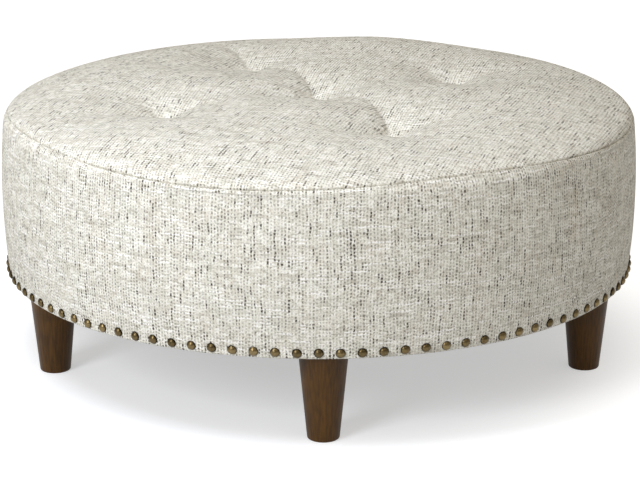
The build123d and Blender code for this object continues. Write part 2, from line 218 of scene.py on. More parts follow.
zinc_tones = ((0.3, "#8C8F92"), (0.7, "#BCBEBD"))
zinc_plated_steel, shader, bloom = mottled("zinc_plated_steel", 2.5, 3.0, zinc_tones, 0.5)
dulled = put(zinc_plated_steel, "ShaderNodeMapRange", i0=bloom.outputs["Fac"], i3=0.28, i4=0.46)
wire(dulled, shader, "Roughness")
shader.inputs["Metallic"].default_value = 1.0
dress(zinc_plated_steel, "hanger_bolts", "tee_nuts")

# Leg blocks: sawn pine, glued and screwed on the base ring above each leg. The grain lies flat, so
# that the tee nut bites across it.


def sawn_pine(name, grain_run):
    """Sawn pine as it comes off the saw: dark latewood lines along the grain, 4 mm apart, and rough."""
    material, shader = new_material(name)
    place = put(material, "ShaderNodeTexCoord")
    lines = put(material, "ShaderNodeMapping", Vector=place.outputs["Object"],
                Scale=[1 / run for run in grain_run])
    rings = put(material, "ShaderNodeTexNoise", Vector=lines.outputs[0], Scale=1.0, Detail=5.0,
                Roughness=0.55)
    tones = put(material, "ShaderNodeValToRGB", {"stops": ((0.38, "#B98F5C"), (0.62, "#E2C99C"))},
                Fac=rings.outputs["Fac"])
    wire(tones, shader, "Base Color")
    shader.inputs["Roughness"].default_value = 0.75
    saw_marks = put(material, "ShaderNodeBump", Strength=0.3, Distance=0.3 * MM, Height=rings.outputs["Fac"])
    wire(saw_marks, shader, "Normal")
    return material


pine_flat = sawn_pine("sawn_pine_laid_flat", (120.0 * MM, 4.0 * MM, 4.0 * MM))
dress(pine_flat, "leg_blocks")
dress(zinc_plated_steel, "block_screws")

# Base ring and deck: birch plywood cut to shape. Its faces show the plain veneer with long grain, its
# sawn edges show plies about 1.5 mm thick, light and dark by turns.
birch_plywood, shader = new_material("birch_plywood")
place = put(birch_plywood, "ShaderNodeTexCoord")
lines = put(birch_plywood, "ShaderNodeMapping", Vector=place.outputs["Object"],
            Scale=(1 / (160.0 * MM), 1 / (5.0 * MM), 1 / (5.0 * MM)))
veneer = put(birch_plywood, "ShaderNodeTexNoise", Vector=lines.outputs[0], Scale=1.0, Detail=5.0)
tones = put(birch_plywood, "ShaderNodeValToRGB", {"stops": ((0.35, "#C7A777"), (0.65, "#DEC79C"))},
            Fac=veneer.outputs["Fac"])
height_split = put(birch_plywood, "ShaderNodeSeparateXYZ", Vector=place.outputs["Object"])
ply_wave = put(birch_plywood, "PINGPONG", i0=height_split.outputs["Z"],
               i1=1.5 * MM)
ply_step = put(birch_plywood, "ShaderNodeMapRange", i0=ply_wave.outputs[0], i1=0.6 * MM, i2=0.9 * MM)
plies = put(birch_plywood, "ShaderNodeValToRGB", {"stops": ((0.0, "#A98357"), (1.0, "#D9BF92"))},
            Fac=ply_step.outputs[0])
facing = put(birch_plywood, "ShaderNodeSeparateXYZ", Vector=place.outputs["Normal"])
flatness = put(birch_plywood, "ABSOLUTE", i0=facing.outputs["Z"])
on_face = put(birch_plywood, "ShaderNodeMapRange", i0=flatness.outputs[0], i1=0.4, i2=0.6)
cut_or_face = put(birch_plywood, "ShaderNodeMix", {"data_type": "RGBA"}, i0=on_face.outputs[0],
                  i6=plies.outputs[0], i7=tones.outputs[0])
wire(cut_or_face.outputs[2], shader, "Base Color")
shader.inputs["Roughness"].default_value = 0.6
raised = put(birch_plywood, "ShaderNodeBump", Strength=0.15, Distance=0.2 * MM, Height=veneer.outputs["Fac"])
wire(raised, shader, "Normal")
dress(birch_plywood, "base_ring", "deck_panel")

# Frame posts: ten upright blocks of sawn pine between ring and deck, screwed from below and above.
pine_upright = sawn_pine("sawn_pine_upright", (4.0 * MM, 4.0 * MM, 120.0 * MM))
dress(pine_upright, "frame_posts")
dress(zinc_plated_steel, "post_screws", "deck_screws")

# Deck battens: two pine ribs on edge under the deck, which keep it from sagging when it is sat on.
pine_lengthwise = sawn_pine("sawn_pine_lengthwise", (4.0 * MM, 120.0 * MM, 4.0 * MM))
dress(pine_lengthwise, "deck_battens")
dress(zinc_plated_steel, "batten_screws")

# Wall liner: bent fibreboard 3 mm thick, stapled round the ring and the deck, which gives the padding
# its backing. Pressed wood fibre makes it an even grey-brown with darker flecks.
board_tones = ((0.35, "#7E684C"), (0.6, "#A48C6A"))
fibreboard = mottled("bent_fibreboard", 3.0, 6.0, board_tones, 0.8, 0.2, 0.2)[0]
dress(fibreboard, "wall_liner")
dress(zinc_plated_steel, "liner_staples")

# Tufting: a waxed nylon twine runs up through deck and foam at each tuft and is tied round a disc of
# vulcanised fibre under the deck. The twine is off-white and slightly shiny, the disc dark red-brown.
waxed_nylon, shader = new_material("waxed_nylon_twine")
place = put(waxed_nylon, "ShaderNodeTexCoord")
strands = put(waxed_nylon, "ShaderNodeTexWave", {"bands_direction": "DIAGONAL"},
              Vector=place.outputs["Object"], Scale=0.314 / (1.6 * MM), Distortion=1.0)
tones = put(waxed_nylon, "ShaderNodeValToRGB", {"stops": ((0.0, "#C9C4B4"), (1.0, "#E9E5DA"))},
            Fac=strands.outputs["Fac"])
wire(tones, shader, "Base Color")
shader.inputs["Roughness"].default_value = 0.4
laid = put(waxed_nylon, "ShaderNodeBump", Strength=0.4, Distance=0.3 * MM, Height=strands.outputs["Fac"])
wire(laid, shader, "Normal")
dress(waxed_nylon, "tuft_twines")
disc_tones = ((0.0, "#3B241B"), (1.0, "#5B3A2C"))
vulcanised_fibre = mottled("vulcanised_fibre", 2.0, 4.0, disc_tones, 0.5)[0]
dress(vulcanised_fibre, "tuft_anchors")

# Wall band: the boxing, one strip of tweed 1.5 mm thick, sewn to the top panel, pulled down over the
# padding and turned under the frame. It puckers a little at the seam and dimples at each nail.

# Its outline, which the top panel shares: the wall swells between its lower edge and the seam, an
# elliptical shoulder turns in over the foam, and the top is gently crowned. A woven round panel
# stretches most along its bias, so the seam rises and sinks four times round the body.
fabric_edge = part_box("wall_cover")
wall_radius = (fabric_edge[1][0] - fabric_edge[0][0]) / 2
edge_height = fabric_edge[0][2]
edge_radius = wall_radius - 7.5 * MM
crown_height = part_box("top_cover")[1][2]
shoulder_radius, shoulder_height = wall_radius - 67.0 * MM, crown_height - 12.3 * MM
shoulder_width, shoulder_drop = 61.3 * MM, 31.1 * MM
seam_height, seam_swing = crown_height - 30.5 * MM, 5.5 * MM
tuft_turn = math.radians(26.3)


def seam_level(turn):
    """Height of the seam at a turn round the body."""
    return seam_height + seam_swing * math.cos(4 * (turn - tuft_turn))


def shoulder_point(lift_angle):
    """Radius and height on the elliptical shoulder, from its level top, at 0, down its side."""
    return (shoulder_radius + shoulder_width * math.sin(lift_angle),
            shoulder_height - shoulder_drop * (1 - math.cos(lift_angle)))


def seam_angle(turn):
    """Angle on the shoulder at which the seam lies at a turn round the body."""
    drop = (shoulder_height - seam_level(turn)) / shoulder_drop
    return math.acos(1 - drop)


# Its cloth: linen-look tweed of cream slub yarn, plain woven. Warp ribs run up the wall, their thin places
# show as grey-brown dashes, thick weft picks cross them with a painted highlight where they lie raised, the
# holes and the gaps between rows get painted shade, and the dye is uneven.
tweed, shader = new_material("slub_linen_tweed")
rib_pitch, pick_pitch = 4.9 * MM, 5.3 * MM
slub_length, pick_slub_length = 23.0 * MM, 60.0 * MM
cloth_place = put(tweed, "ShaderNodeUVMap", {"uv_map": "cloth"})
split = put(tweed, "ShaderNodeSeparateXYZ", Vector=cloth_place)
across, along = split.outputs["X"], split.outputs["Y"]

# The yarns wander slowly over 70 mm, and lumps of 6.5 mm push them aside
for drift_size, detail, aside, onward in ((70.0 * MM, 2.0, 7.0 * MM, 7.0 * MM),
                                          (6.5 * MM, 1.0, 3.4 * MM, 4.0 * MM)):
    drift = put(tweed, "ShaderNodeTexNoise", Vector=cloth_place, Scale=1 / drift_size, Detail=detail)
    drift_split = put(tweed, "ShaderNodeSeparateColor", Color=drift.outputs["Color"])
    across = put(tweed, "MULTIPLY_ADD", i0=drift_split.outputs[0], i1=aside, i2=across)
    along = put(tweed, "MULTIPLY_ADD", i0=drift_split.outputs[1], i1=onward, i2=along)

# Which gap between ribs, pick and row of picks a point is nearest to, and how far it lies from each.
# The picks of a gap are shifted against the next gap's, the rows aren't.
rib_count = put(tweed, "DIVIDE", i0=across, i1=rib_pitch)
gap_number = put(tweed, "ROUND", i0=rib_count)
pick_row = put(tweed, "DIVIDE", i0=along, i1=pick_pitch)
row_number = put(tweed, "ROUND", i0=pick_row)
row_below = put(tweed, "FLOOR", i0=pick_row)
gap_shift = put(tweed, "ShaderNodeTexWhiteNoise", {"noise_dimensions": "1D"}, W=gap_number)
pick_count = put(tweed, "MULTIPLY_ADD", i0=gap_shift.outputs["Value"], i1=0.7, i2=pick_row)
pick_number = put(tweed, "ROUND", i0=pick_count)
from_gap = put(tweed, "ABSOLUTE", i0=put(tweed, "SUBTRACT", i0=rib_count, i1=gap_number))
from_pick = put(tweed, "ABSOLUTE", i0=put(tweed, "SUBTRACT", i0=pick_count, i1=pick_number))
from_row = put(tweed, "ABSOLUTE", i0=put(tweed, "SUBTRACT", i0=pick_row, i1=row_number))

# Noises that run along single yarns: where they read across and along the yarn, and their detail
yarn_noises = {}
for name, x, y, detail in (
        ("slubs", put(tweed, "MULTIPLY", i0=gap_number, i1=7.31),
         put(tweed, "DIVIDE", i0=along, i1=slub_length), 1.0),
        ("shade", put(tweed, "MULTIPLY", i0=gap_number, i1=3.17),
         put(tweed, "DIVIDE", i0=along, i1=3 * slub_length), 2.0),
        ("picks", put(tweed, "DIVIDE", i0=across, i1=pick_slub_length),
         put(tweed, "MULTIPLY", i0=row_below, i1=5.77), 2.0),
        ("cells", put(tweed, "DIVIDE", i0=across, i1=9.0 * MM),
         put(tweed, "MULTIPLY", i0=row_below, i1=4.31), 1.0),
        ("pick_tone", put(tweed, "DIVIDE", i0=across, i1=pick_slub_length),
         put(tweed, "MULTIPLY", i0=row_below, i1=9.13), 2.0),
        ("row_shade", put(tweed, "DIVIDE", i0=across, i1=14.0 * MM),
         put(tweed, "MULTIPLY", i0=row_number, i1=6.61), 2.0)):
    yarn_noises[name] = put(tweed, "ShaderNodeTexNoise", {"noise_dimensions": "2D"}, Scale=1.0, Detail=detail,
                            Vector=put(tweed, "ShaderNodeCombineXYZ", X=x, Y=y))
fuzz = put(tweed, "ShaderNodeTexNoise", Vector=cloth_place, Scale=1 / (1.9 * MM), Detail=2.0)
tint = put(tweed, "ShaderNodeTexNoise", Vector=cloth_place, Scale=1 / (45.0 * MM), Detail=3.0)
fleck_place = put(tweed, "ShaderNodeCombineXYZ", X=gap_number, Y=pick_number)
flecks = put(tweed, "ShaderNodeTexWhiteNoise", {"noise_dimensions": "2D"}, Vector=fleck_place)

# Shares from 0 to 1: each is 0 where its value is at the first number and 1 where it is at the second
shares = {}
for name, value, none, full in (
        ("gap", from_gap, 0.36, 0.10), ("pick", from_pick, 0.40, 0.14), ("pick_line", from_row, 0.22, 0.40),
        ("tint", tint, 0.35, 0.65), ("pale_cell", yarn_noises["cells"], 0.3, 0.7),
        ("dull_fuzz", fuzz, 0.48, 0.75), ("bright_fuzz", fuzz, 0.50, 0.25),
        ("dull_pick", yarn_noises["pick_tone"], 0.45, 0.7), ("thin_pick", yarn_noises["picks"], 0.35, 0.22),
        ("thick_pick", yarn_noises["picks"], 0.58, 0.66), ("shade", yarn_noises["shade"], 0.35, 0.7),
        ("row_gap", from_row, 0.30, 0.08), ("shaded_row_patch", yarn_noises["row_shade"], 0.5, 0.68),
        ("dash_gap", from_gap, 0.36, 0.16), ("slub", yarn_noises["slubs"], 0.61, 0.72),
        ("dash_pick", from_pick, 0.42, 0.2)):
    shares[name] = put(tweed, "ShaderNodeMapRange", {"interpolation_type": "SMOOTHSTEP"}, i0=value, i1=none,
                       i2=full)
# The holes where ribs and picks part are painted darker, as painted shade in them, deeper in places at
# random; they also sink in the relief.
gap_dot = put(tweed, "MULTIPLY", i0=shares["gap"],
              i1=put(tweed, "MULTIPLY_ADD", i0=shares["pick"], i1=0.9, i2=0.1))
hole_shade_speckle = put(tweed, "MULTIPLY_ADD", i0=flecks.outputs["Value"], i1=0.46, i2=0.02)
hole_shade_depth = put(tweed, "MULTIPLY_ADD", i0=shares["shade"], i1=0.42, i2=hole_shade_speckle)
# The thick places of the picks, where they lie raised, are painted near white: a painted highlight.
raised_pick_highlight = put(tweed, "MULTIPLY", i0=shares["thick_pick"], i1=shares["pick_line"])
# The gaps between rows of picks are painted darker in patches: painted shade.
row_gap_shade = put(tweed, "MULTIPLY", i0=shares["row_gap"], i1=shares["shaded_row_patch"])
dash = put(tweed, "MULTIPLY", i0=put(tweed, "MULTIPLY", i0=shares["dash_gap"], i1=shares["slub"]),
           i1=put(tweed, "MULTIPLY_ADD", i0=shares["dash_pick"], i1=0.62, i2=0.28))

# The colour is laid on in coats, painted highlight and shade among them: the uneven dye first, the dashes of
# the slubs last
yarn = linear("#DDDBCD")
for coat, code in (
        (shares["tint"], "#E0DACB"),
        (shares["pale_cell"], "#F7F5EB"),
        (put(tweed, "MULTIPLY", i0=shares["dull_fuzz"], i1=0.5), "#ADA79C"),
        (put(tweed, "MULTIPLY", i0=shares["bright_fuzz"], i1=0.7), "#FCFBF7"),
        (put(tweed, "MULTIPLY", i0=shares["dull_pick"], i1=0.4), "#C2BDB0"),
        (put(tweed, "MULTIPLY", i0=shares["thin_pick"], i1=0.45), "#B4AC9F"),
        # painted highlight on the raised picks
        (put(tweed, "MULTIPLY", i0=raised_pick_highlight, i1=0.9), "#FFFDF8"),
        # painted shade in the holes of the weave
        (put(tweed, "MULTIPLY", i0=gap_dot, i1=hole_shade_depth), "#5A5246"),
        # painted shade in the gaps between rows
        (put(tweed, "MULTIPLY", i0=row_gap_shade, i1=0.34), "#6E665A"),
        (dash, "#3A3027")):
    yarn = put(tweed, "ShaderNodeMix", {"data_type": "RGBA"}, i0=coat, i6=yarn, i7=linear(code)).outputs[2]
wire(yarn, shader, "Base Color")
shader.inputs["Roughness"].default_value = 0.85
shader.inputs["Specular IOR Level"].default_value = 0.25
raised_picks = put(tweed, "MULTIPLY", i0=shares["pick_line"], i1=0.4)
weave_bump = put(tweed, "ShaderNodeBump", Strength=0.7, Distance=0.9 * MM,
                 Height=put(tweed, "SUBTRACT", i0=raised_picks, i1=gap_dot))
wire(weave_bump, shader, "Normal")


def finished(name, bm, material):
    """Turns a bmesh into a smooth shaded object at the origin with one material."""
    mesh = bpy.data.meshes.new(name)
    bm.to_mesh(mesh)
    bm.free()
    mesh.materials.append(material)
    mesh.shade_smooth()
    made = bpy.data.objects.new(name, mesh)
    bpy.context.collection.objects.link(made)
    return made


def thicken(piece, amount):
    """Gives a sheet its thickness, inwards from its face."""
    thickness = piece.modifiers.new("thickness", "SOLIDIFY")
    thickness.thickness = amount
    thickness.offset = -1.0


def round_place(radius, turn, height):
    """A point at a radius and turn round the middle of the table, and at a height."""
    return Vector((radius * math.cos(turn), radius * math.sin(turn), height))


cloth_thickness = 1.5 * MM
nail_count, nail_level = 100, edge_height + 8.6 * MM
nail_start = math.radians(-90.9)
edge_round = 4.0 * MM
wall_top = shoulder_height - shoulder_drop
swell_level = (edge_height + edge_round + wall_top) / 2
seam_steps = [step * MM for step in (6.5, 4.5, 3.2, 2.2, 1.3, 0.6, 0.0)]
groove_depth, groove_width = 2.8 * MM, 1.25 * MM


def shoulder_pace(angle):
    """Arc length run along the shoulder for each radian of its angle."""
    return math.hypot(shoulder_width * math.cos(angle), shoulder_drop * math.sin(angle))


def shoulder_normal(angle):
    """The direction out of the shoulder, as radius and height."""
    out = (shoulder_drop * math.sin(angle), shoulder_width * math.cos(angle))
    size = math.hypot(*out)
    return out[0] / size, out[1] / size


def seam_point(turn, step, depth=0.0):
    """Radius and height at an arc distance from the seam, below it where positive, sunk into its groove."""
    angle = seam_angle(turn)
    angle += step / shoulder_pace(angle)
    sink = groove_depth * math.exp(-(step / groove_width) ** 2) + depth
    radius, height = shoulder_point(angle)
    out = shoulder_normal(angle)
    return radius - sink * out[0], height - sink * out[1]


def unevenness(turn, height, size, seed):
    """Smooth noise on the round wall, between -1 and 1, without a joint at the back."""
    spot = round_place(wall_radius, turn, height) / size
    return noise.noise(spot + Vector((seed, seed, seed)))


# The rows of the strip, from its turned-under edge up to the seam and its allowance behind it
wall_rows = [("under", step / 4) for step in range(4)]
wall_rows += [("edge", step / 4) for step in range(4)]
wall_rows += [("nails", step / 7) for step in range(7)]
wall_rows += [("wall", step / 26) for step in range(26)]
wall_rows += [("bend", step / 5) for step in range(5)]
wall_rows += [("seam", step) for step in seam_steps]
wall_rows += [("allowance", step * MM) for step in (1.5, 3.5)]
nails_top, turned_under = edge_height + 22.0 * MM, 45.0 * MM
edge_drop, edge_fade, drop_start, drop_run = 1.8 * MM, 0.009, 0.480, 0.012
swell_depth, swell_size = 0.9 * MM, 0.11
pucker_depth, pucker_size, pucker_fade, pucker_start = 0.55 * MM, 0.016, 0.022, 0.006
dimple_depth, dimple_reach = 1.3 * MM, 0.0075


def wall_place(row, turn):
    """A point of the wall band, by its row and its turn round the body."""
    zone, share = wall_rows[row]
    under_end = edge_radius - edge_round
    if zone == "under":
        radius = edge_radius - turned_under + share * (under_end - edge_radius + turned_under)
        height = edge_height
    elif zone == "edge":
        radius = under_end + edge_round * math.sin(share * math.pi / 2)
        height = edge_height + edge_round * (1 - math.cos(share * math.pi / 2))
    elif zone in ("nails", "wall"):
        ends = (edge_height + edge_round, nails_top) if zone == "nails" else (nails_top, wall_top)
        height = ends[0] + share * (ends[1] - ends[0])
        half = swell_level - edge_height - edge_round
        low = edge_radius if height < swell_level else wall_radius - 5.5 * MM
        radius = wall_radius - (wall_radius - low) * ((height - swell_level) / half) ** 2
    elif zone == "bend":
        last = seam_angle(turn) + seam_steps[0] / shoulder_pace(seam_angle(turn))
        radius, height = shoulder_point(math.pi / 2 + share * (last - math.pi / 2))
    elif zone == "seam":
        radius, height = seam_point(turn, share)
    else:
        radius, height = seam_point(turn, 0.3 * share, share)
    if zone in ("under", "edge", "nails"):
        near_edge = max(0.0, min(1.0, (radius - drop_start) / drop_run))
        height -= edge_drop * near_edge * math.exp(-(height - edge_height) / edge_fade)
    if zone in ("nails", "wall", "bend"):
        radius += swell_depth * unevenness(turn, height, swell_size, 3.0)
        below_seam = seam_level(turn) - height
        pucker = pucker_depth * math.exp(-below_seam / pucker_fade)
        pucker *= unevenness(turn, 0.3 * height, pucker_size, 8.0)
        radius += pucker * min(1.0, below_seam / pucker_start)
        step_turn = 2 * math.pi / nail_count
        nearest = nail_start + round((turn - nail_start) / step_turn) * step_turn
        away = math.hypot((turn - nearest) * wall_radius, height - nail_level)
        radius -= dimple_depth * math.exp(-(away / dimple_reach) ** 2)
    return round_place(radius, turn, height)


# A plain drum is spun from one line of points, which keep their row's number and then take their place
bm = bmesh.new()
row_of = bm.verts.layers.int.new("row")
chain = []
for row in range(len(wall_rows)):
    chain.append(bm.verts.new((1.0, 0.0, 0.01 * row)))
    chain[-1][row_of] = row
chain_edges = [bm.edges.new(pair) for pair in zip(chain, chain[1:])]
bmesh.ops.spin(bm, geom=chain + chain_edges, cent=(0, 0, 0), axis=(0, 0, 1), angle=2 * math.pi, steps=800,
               use_merge=True)
run_up, measured_turn = [0.0], 0.7
for row in range(1, len(wall_rows)):
    step_up = (wall_place(row, measured_turn) - wall_place(row - 1, measured_turn)).length
    run_up.append(run_up[-1] + step_up)
cloth_uv = bm.loops.layers.uv.new("cloth")
for face in bm.faces:
    middle = face.calc_center_median()
    middle_turn = math.atan2(middle.y, middle.x)
    for loop in face.loops:
        turn = math.atan2(loop.vert.co.y, loop.vert.co.x)
        turn += 2 * math.pi * round((middle_turn - turn) / (2 * math.pi))
        loop[cloth_uv].uv = (turn * wall_radius, run_up[loop.vert[row_of]])
for vert in bm.verts:
    vert.co = wall_place(vert[row_of], math.atan2(vert.co.y, vert.co.x))
bm.normal_update()
bm.faces.ensure_lookup_table()
sample = max(bm.faces, key=lambda face: face.calc_center_median().to_2d().length)
if sample.normal.dot(sample.calc_center_median()) < 0:
    bmesh.ops.reverse_faces(bm, faces=bm.faces)
bm.verts.layers.int.remove(row_of)
wall = finished("wall_band", bm, tweed)
thicken(wall, cloth_thickness)
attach(wall, "root")
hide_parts("wall_cover")

# Top panel: a round piece of the same tweed, crowned over the foam and pulled down by five blind
# tufts. A deep pleat runs through three of them and on to the back, a shallow one leaves each of the
# other two, and short soft arms leave all five. The cloth is lowest behind each tuft, to its left.
tuft_ring, tuft_depth = 252.0 * MM, 29.0 * MM
tufts = [Vector((0.0, 0.0))]
tufts += [Vector((math.cos(tuft_turn + turn), math.sin(tuft_turn + turn))) * tuft_ring
          for turn in (0.0, math.pi / 2, math.pi, 3 * math.pi / 2)]
slants = ((-6, 17), (-10, 23), (-8, 17), (-22, 26), (-8, 14))
pits = [tuft + Vector(slant) * MM for tuft, slant in zip(tufts, slants)]
lip_slope, crown_slope = 0.109, 0.055
lip_angle = math.atan(lip_slope)
lip_radius, lip_height = shoulder_point(lip_angle)
crown_bow = crown_slope / (2 * lip_radius)


def bend_length(turn):
    """Arc length over the shoulder, from the crown to just above the seam."""
    end = seam_angle(turn) - seam_steps[0] / shoulder_pace(seam_angle(turn))
    paces = [shoulder_pace(lip_angle + (end - lip_angle) * share) for share in (0.0, 0.5, 1.0)]
    return end, (end - lip_angle) * (paces[0] + 4 * paces[1] + paces[2]) / 6


def crown_place(share, turn):
    """A point of the untufted top, from the middle at 0 to just above the seam at 1."""
    end, bend = bend_length(turn)
    run = share * (lip_radius + bend)
    if run < lip_radius:
        radius, height = run, lip_height + crown_bow * (lip_radius ** 2 - run ** 2)
    else:
        radius, height = shoulder_point(lip_angle + (end - lip_angle) * (run - lip_radius) / bend)
    return round_place(radius, turn, height)


# Each pleat: points in plan, in millimetres, from the tuft where it starts to where it runs out, and
# its depth in millimetres near the start
pleats = (
    (((-109, 242), (-118, 286), (-137, 350), (-157, 384), (-184, 425)), 19.0),
    (((-2, 20), (-13, 100), (-32, 156), (-59, 198), (-104, 228)), 22.0),
    (((106, -206), (103, -152), (89, -87), (69, -37), (12, 14)), 23.0),
    (((217, 116), (220, 170), (233, 239), (240, 300), (244, 360)), 9.0),
    (((-234, -104), (-252, -50), (-278, 20)), 7.0),
)
pleat_lines = []
arms = []
for pit in pits:
    for turn, depth in ((0.0, 10.0), (math.pi / 2, 6.0), (math.pi, 7.0), (3 * math.pi / 2, 6.0)):
        side = Vector((math.cos(tuft_turn + turn), math.sin(tuft_turn + turn)))
        arms.append(([pit / MM, pit / MM + 50 * side, pit / MM + 110 * side], depth))
for corners, depth in list(pleats) + arms:
    points = [Vector(corner) * MM for corner in corners]
    line = []
    for index in range(len(points) - 1):
        before = points[max(index - 1, 0)]
        after = points[min(index + 2, len(points) - 1)]
        first, second = points[index], points[index + 1]
        for step in range(8):
            t = step / 8
            curve = 0.5 * (2 * first + (second - before) * t
                           + (2 * before - 5 * first + 4 * second - after) * t ** 2
                           + (3 * first - before - 3 * second + after) * t ** 3)
            line.append(curve)
    line.append(points[-1])
    low = Vector((min(point.x for point in line) - 0.07, min(point.y for point in line) - 0.07))
    high = Vector((max(point.x for point in line) + 0.07, max(point.y for point in line) + 0.07))
    pleat_lines.append((line, depth * MM, low, high))


steep_reach, broad_reach = 21.0 * MM, 70.0 * MM


def tuft_sink(spot):
    """How far the tufts pull the panel down at a point in plan."""
    total = 0.0
    for centre in pits:
        away = spot - centre
        distance = away.length
        if distance > 0.2:
            continue
        lobes = 0.5 + 0.5 * math.cos(4 * (math.atan2(away.y, away.x) - tuft_turn)) if distance > 1e-6 else 0.5
        reach = 1.0 + 0.35 * lobes
        steep = math.exp(-(distance / (steep_reach * reach)) ** 1.5)
        broad = math.exp(-(distance / (broad_reach * reach)) ** 1.6)
        total += tuft_depth * (0.5 * steep + 0.5 * broad)
    return total


steep_side, gentle_side, arm_width = 14.0 * MM, 30.0 * MM, 24.0 * MM
deep_pleat = 10.5 * MM


def pleat_sink(spot):
    """How far the pleats between the tufts sink below the panel at a point in plan."""
    fold = 0.0
    for line, depth, low, high in pleat_lines:
        if not (low.x < spot.x < high.x and low.y < spot.y < high.y):
            continue
        nearest, share, turned = 1.0, 0.0, 0.0
        for index in range(len(line) - 1):
            side = line[index + 1] - line[index]
            t = max(0.0, min(1.0, (spot - line[index]).dot(side) / side.length_squared))
            offset = spot - line[index] - t * side
            if offset.length < nearest:
                nearest, share = offset.length, (index + t) / (len(line) - 1)
                turned = side.x * offset.y - side.y * offset.x
        fade = min(1.0, 0.25 + share * 8.0) * (1 - share) ** 0.9
        width = (steep_side if turned > 0 else gentle_side) if depth > deep_pleat else arm_width
        fold = max(fold, depth * fade * math.exp(-nearest / width))
    return fold


def to_square(share, turn):
    """Where the concentric map of a square grid on to a disc has its point for a share and turn."""
    eighth = (turn + math.pi / 4) % (2 * math.pi)
    quarter = int(eighth // (math.pi / 2))
    skew = share * ((eighth % (math.pi / 2)) / (math.pi / 4) - 1)
    return ((share, skew), (-skew, share), (-share, -skew), (skew, -share))[quarter]


def disc_grid(rings):
    """A square grid whose rings are bent into circles: its bmesh, and ring and turn for each point."""
    bm = bmesh.new()
    bmesh.ops.create_grid(bm, x_segments=2 * rings, y_segments=2 * rings, size=1.0)
    places = []
    for vert in bm.verts:
        a, b = vert.co.x, vert.co.y
        if max(abs(a), abs(b)) < 1e-6:
            places.append((0, 0.0))
        elif abs(a) >= abs(b):
            places.append((round(abs(a) * rings), math.pi / 4 * b / a + (math.pi if a < 0 else 0.0)))
        else:
            turn = math.pi / 2 - math.pi / 4 * a / b + (math.pi if b < 0 else 0.0)
            places.append((round(abs(b) * rings), turn))
    return bm, places


def rim_fade(share):
    """1 on the crown and 0 at the seam, so that tufts and pleats don't reach it."""
    rim_share = 0.08
    fade = min(1.0, max(0.0, (1.0 - share) / rim_share))
    return fade * fade * (3 - 2 * fade)


# The panel is stretched over the foam by a cloth simulation on a coarser grid: its yarns keep the
# length they have on the crown, its rim and the tufts are held, and the foam pushes it up from below.
# What moves more than a few millimetres is capped, and the moves are carried over to the fine grid.
draft_rings, move_cap, stretch_steps = 54, 6.0 * MM, 20
moves = {}
bm, places = disc_grid(draft_rings)
for vert, (ring, turn) in zip(bm.verts, places):
    vert.co = crown_place(ring / draft_rings, turn)
    vert.co.z -= rim_fade(ring / draft_rings) * tuft_sink(vert.co.to_2d())
draft_mesh = bpy.data.meshes.new("panel_draft")
bm.to_mesh(draft_mesh)
bm.free()
draft = bpy.data.objects.new("panel_draft", draft_mesh)
bpy.context.collection.objects.link(draft)
draft.shape_key_add(name="tufted")
slack = draft.shape_key_add(name="crowned")
held = []
for index, (ring, turn) in enumerate(places):
    slack.data[index].co = crown_place(ring / draft_rings, turn)
    spot = draft_mesh.vertices[index].co.to_2d()
    if ring >= draft_rings - 1 or min((spot - pit).length for pit in pits) < 0.011:
        held.append(index)
draft.vertex_groups.new(name="held").add(held, 1.0, "REPLACE")
cloth = draft.modifiers.new("cloth", "CLOTH")
cloth.settings.quality = 6
cloth.settings.mass = 0.3
cloth.settings.tension_stiffness = 30.0
cloth.settings.compression_stiffness = 12.0
cloth.settings.shear_stiffness = 8.0
cloth.settings.bending_stiffness = 0.6
cloth.settings.vertex_group_mass = "held"
cloth.settings.rest_shape_key = slack
cloth.settings.use_pressure = True
cloth.settings.uniform_pressure_force = 4.0
cloth.settings.effector_weights.gravity = 0.0
for step in range(1, stretch_steps + 1):
    bpy.context.scene.frame_set(step)
settled = draft.evaluated_get(bpy.context.evaluated_depsgraph_get()).to_mesh()
for index, (ring, turn) in enumerate(places):
    move = settled.vertices[index].co - draft_mesh.vertices[index].co
    if move.length > move_cap:
        move *= move_cap / move.length
    corner = to_square(ring / draft_rings, turn)
    moves[round((corner[0] + 1) * draft_rings), round((corner[1] + 1) * draft_rings)] = move
bpy.context.scene.frame_set(1)
bpy.data.objects.remove(draft)


def settled_move(share, turn):
    """The simulated move at a point of the panel, between the four nearest points of the draft."""
    if not moves:
        return Vector((0.0, 0.0, 0.0))
    across_grid, along_grid = [(value + 1) * draft_rings for value in to_square(min(share, 1.0), turn)]
    left = min(int(across_grid), 2 * draft_rings - 1)
    low = min(int(along_grid), 2 * draft_rings - 1)
    x, y = across_grid - left, along_grid - low
    return ((1 - x) * (1 - y) * moves[left, low] + x * (1 - y) * moves[left + 1, low]
            + (1 - x) * y * moves[left, low + 1] + x * y * moves[left + 1, low + 1])


# Between two tufts the foam stands a little fuller towards the back, which the outline shows
full_spot, full_reach, full_rise = Vector((0.105, 0.365)), 0.11, 7.0 * MM
loop_depth, loop_reach, loop_radius, loop_slope = 24.0 * MM, 20.0 * MM, 0.007, 0.9
ripple_depth, ripple_size = 0.8 * MM, 0.09


def panel_place(share, turn):
    """A point of the finished panel: crown, what the simulation moved, tufts and pleats.

    The twine's loop holds the cloth at its depth, so that it sinks no deeper at the tuft.
    """
    place = crown_place(share, turn)
    fade, crown_level = rim_fade(share), place.z
    spot = place.to_2d()
    place += settled_move(share, turn)
    place.z -= fade * (tuft_sink(spot) + pleat_sink(spot))
    place.z += fade * full_rise * math.exp(-((spot - full_spot).length / full_reach) ** 2)
    for tuft in tufts:
        away = (spot - tuft).length
        if away < loop_reach:
            place.z = max(place.z, crown_level - loop_depth - loop_slope * max(0.0, away - loop_radius))
    place.z += fade * ripple_depth * noise.noise(place / ripple_size + Vector((5.0, 5.0, 5.0)))
    return place


